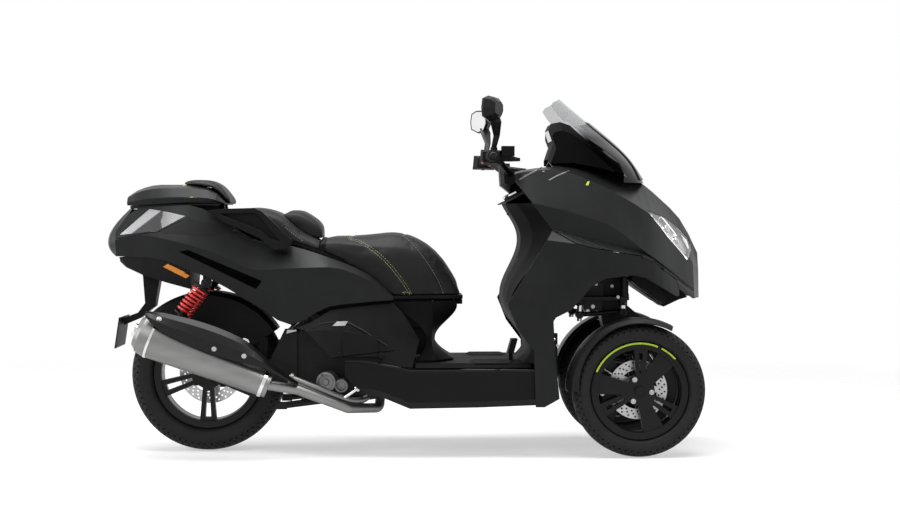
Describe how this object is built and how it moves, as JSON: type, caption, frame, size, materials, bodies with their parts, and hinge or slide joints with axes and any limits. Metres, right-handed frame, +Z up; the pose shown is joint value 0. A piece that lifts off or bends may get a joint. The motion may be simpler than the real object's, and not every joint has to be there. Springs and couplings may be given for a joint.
{
  "type": "three-wheeled motor scooter",
  "caption": "Maxi scooter with paired steered front wheels and a driven rear wheel, step-through floor, fairing, screen, lifting seat and luggage lid.",
  "frame": {"origin": "on the ground below the middle of the vehicle's length and width", "axes": "+X forward, +Y to the rider's left, +Z up"},
  "size_m": [2.1063, 0.7754, 1.247],
  "materials": {
    "body_paint": "matte dark grey paint",
    "black_plastic": "grained black plastic",
    "gloss_black": "gloss black",
    "smoked_screen": "smoked clear plastic",
    "lamp_lens": "clear lens",
    "lamp_body": "bright reflector",
    "tail_lens": "smoked red lens",
    "seat_cover": "black seat cover",
    "tyre": "road tyre",
    "wheel_cast": "satin black cast wheel",
    "disc_steel": "brushed steel",
    "frame_steel": "black painted steel",
    "engine_alloy": "cast alloy",
    "muffler_steel": "satin steel",
    "damper_chrome": "hard chrome",
    "spring_red": "red spring paint",
    "grip_rubber": "rubber",
    "mirror": "mirror glass",
    "display_glass": "dark display glass"
  },
  "bodies": {
    "chassis": {"brake_pedal": "black_plastic", "dash_hood": "black_plastic", "display": "display_glass", "exhaust": "muffler_steel", "floor_board": "black_plastic", "front_cowl": "body_paint", "front_dampers": "damper_chrome", "grab_handles": "black_plastic", "headlamp_bowls": "lamp_body", "headlamp_lenses": "lamp_lens", "heat_shield": "gloss_black", "inner_shield": "black_plastic", "leg_shields": "body_paint", "main_frame": "frame_steel", "power_unit": "engine_alloy", "screen_trim": "gloss_black", "seat_pillar": "black_plastic", "shock_bodies": "frame_steel", "shock_springs": "spring_red", "side_panels": "black_plastic", "sills": "black_plastic", "storage_tub": "black_plastic", "tail_lamps": "tail_lens", "tail_panels": "body_paint", "undertail": "black_plastic", "wheel_liner": "black_plastic", "windscreen": "smoked_screen", "wishbones": "frame_steel"},
    "front_wheel_right": {"front_tyre_right": "tyre", "front_rim_right": "wheel_cast", "front_disc_right": "disc_steel"},
    "front_wheel_left": {"front_tyre_left": "tyre", "front_rim_left": "wheel_cast", "front_disc_left": "disc_steel"},
    "rear_wheel": {"rear_tyre": "tyre", "rear_rim": "wheel_cast", "rear_disc": "disc_steel"},
    "knuckle_right": {"knuckle_right": "frame_steel", "mudguard_right": "body_paint"},
    "knuckle_left": {"knuckle_left": "frame_steel", "mudguard_left": "body_paint"},
    "steering": {"handlebar": "black_plastic", "grips": "grip_rubber", "controls": "black_plastic", "mirrors": "gloss_black", "mirror_glasses": "mirror"},
    "seat": {"seat_base": "black_plastic", "rider_cushion": "seat_cover", "passenger_cushion": "seat_cover"},
    "luggage_lid": {"luggage_lid": "body_paint", "backrest_pad": "seat_cover"},
    "centre_stand": {"centre_stand": "frame_steel"},
    "footrest_right": {"footrest_right": "black_plastic"},
    "footrest_left": {"footrest_left": "black_plastic"}
  },
  "joints": [
    {"name": "steering_turn", "type": "hinge", "parent": "chassis", "child": "steering", "pos_m": [0.388, 0, 0.935], "axis": [-0.4384, 0, 0.8988], "range_deg": [-35, 35]},
    {"name": "kingpin_right", "type": "hinge", "parent": "chassis", "child": "knuckle_right", "pos_m": [0.805, -0.185, 0.23], "axis": [-0.2079, 0, 0.9781], "range_deg": [-35, 35]},
    {"name": "kingpin_left", "type": "hinge", "parent": "chassis", "child": "knuckle_left", "pos_m": [0.805, 0.185, 0.23], "axis": [-0.2079, 0, 0.9781], "range_deg": [-35, 35]},
    {"name": "front_wheel_right_spin", "type": "hinge", "parent": "knuckle_right", "child": "front_wheel_right", "pos_m": [0.805, -0.23, 0.23], "axis": [0, 1, 0], "continuous": true},
    {"name": "front_wheel_left_spin", "type": "hinge", "parent": "knuckle_left", "child": "front_wheel_left", "pos_m": [0.805, 0.23, 0.23], "axis": [0, 1, 0], "continuous": true},
    {"name": "rear_wheel_spin", "type": "hinge", "parent": "chassis", "child": "rear_wheel", "pos_m": [-0.695, 0, 0.272], "axis": [0, 1, 0], "continuous": true},
    {"name": "seat_open", "type": "hinge", "parent": "chassis", "child": "seat", "pos_m": [0.196, 0, 0.529], "axis": [0, 1, 0], "range_deg": [0, 50]},
    {"name": "luggage_lid_open", "type": "hinge", "parent": "chassis", "child": "luggage_lid", "pos_m": [-0.643, 0, 0.856], "axis": [0, 1, 0], "range_deg": [0, 60]},
    {"name": "centre_stand_swing", "type": "hinge", "parent": "chassis", "child": "centre_stand", "pos_m": [-0.255, 0, 0.19], "axis": [0, -1, 0], "range_deg": [0, 80]},
    {"name": "footrest_right_fold", "type": "hinge", "parent": "chassis", "child": "footrest_right", "pos_m": [-0.155, -0.274, 0.356], "axis": [1, 0, 0], "range_deg": [0, 85]},
    {"name": "footrest_left_fold", "type": "hinge", "parent": "chassis", "child": "footrest_left", "pos_m": [-0.155, 0.274, 0.356], "axis": [-1, 0, 0], "range_deg": [0, 85]}
  ],
  "couplings": [
    {"joint": "kingpin_right", "follows": "steering_turn", "ratio": 1},
    {"joint": "kingpin_left", "follows": "steering_turn", "ratio": 1}
  ]
}
